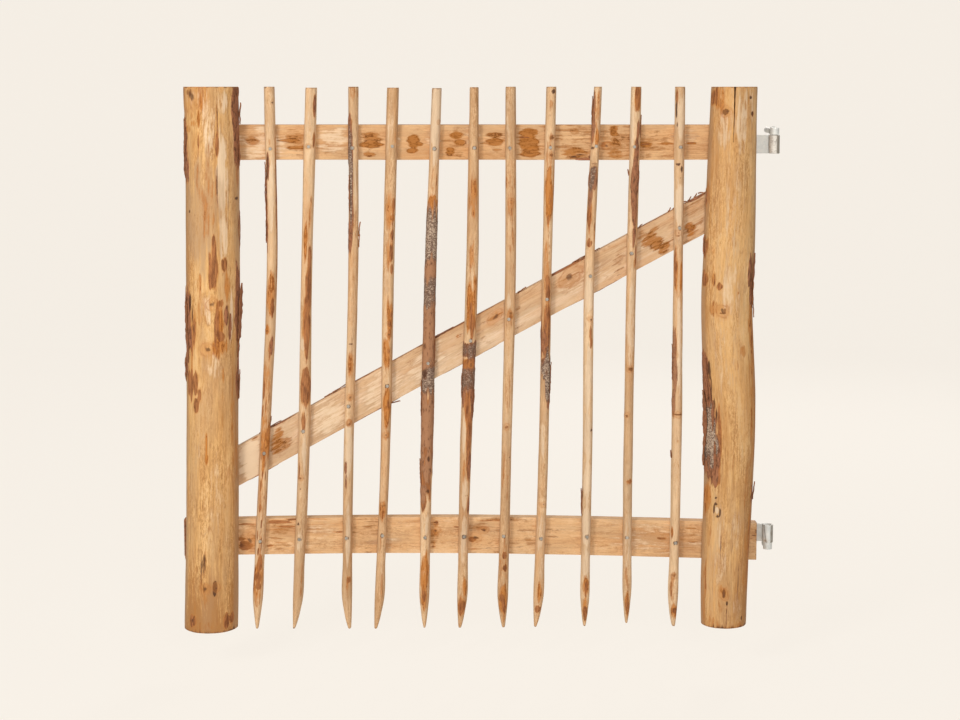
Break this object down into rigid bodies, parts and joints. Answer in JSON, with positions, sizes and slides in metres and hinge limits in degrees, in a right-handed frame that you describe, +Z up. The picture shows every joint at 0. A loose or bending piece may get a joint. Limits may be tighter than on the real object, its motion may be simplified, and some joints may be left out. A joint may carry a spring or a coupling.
{
  "type": "garden gate",
  "caption": "Rustic split chestnut garden gate leaf with pointed pales, two rails, a diagonal brace and strap hinges that swing on gudgeons.",
  "frame": {"origin": "on the axis of the lower gudgeon's shank, at the back of its collar, where it enters the front face of the gatepost", "axes": "+Z up along the hinge line, +X along the leaf from the latch stile to the hinges, +Y from the front of the gate back into the gatepost"},
  "size_m": [1.3128, 0.2305, 1.2],
  "materials": {
    "peeled_chestnut": "peeled split chestnut with rests of bark, matt",
    "split_chestnut": "rough split chestnut board, matt",
    "galvanised_steel": "hot-dip galvanised, dull with a spangle",
    "zinc_screws": "zinc plated, dull",
    "steel_nails": "darkened steel"
  },
  "bodies": {
    "hangings": {"lower_gudgeon": "galvanised_steel", "upper_gudgeon": "galvanised_steel", "lower_pin": "galvanised_steel", "upper_pin": "galvanised_steel"},
    "leaf": {"latch_stile": "peeled_chestnut", "hinge_stile": "peeled_chestnut", "top_rail": "split_chestnut", "bottom_rail": "split_chestnut", "brace": "split_chestnut", "pale_01": "peeled_chestnut", "pale_02": "peeled_chestnut", "pale_03": "peeled_chestnut", "pale_04": "peeled_chestnut", "pale_05": "peeled_chestnut", "pale_06": "peeled_chestnut", "pale_07": "peeled_chestnut", "pale_08": "peeled_chestnut", "pale_09": "peeled_chestnut", "pale_10": "peeled_chestnut", "pale_11": "peeled_chestnut", "upper_strap": "galvanised_steel", "lower_strap": "galvanised_steel", "upper_strap_screws": "zinc_screws", "lower_strap_screws": "zinc_screws", "latch_stile_screws": "zinc_screws", "brace_screws": "zinc_screws", "top_rail_nails": "steel_nails", "bottom_rail_nails": "steel_nails", "brace_nails": "steel_nails"}
  },
  "joints": [
    {"name": "leaf_swing", "type": "hinge", "parent": "hangings", "child": "leaf", "pos_m": [0, -0.024, 0], "axis": [0, 0, 1], "range_deg": [0, 110]}
  ]
}
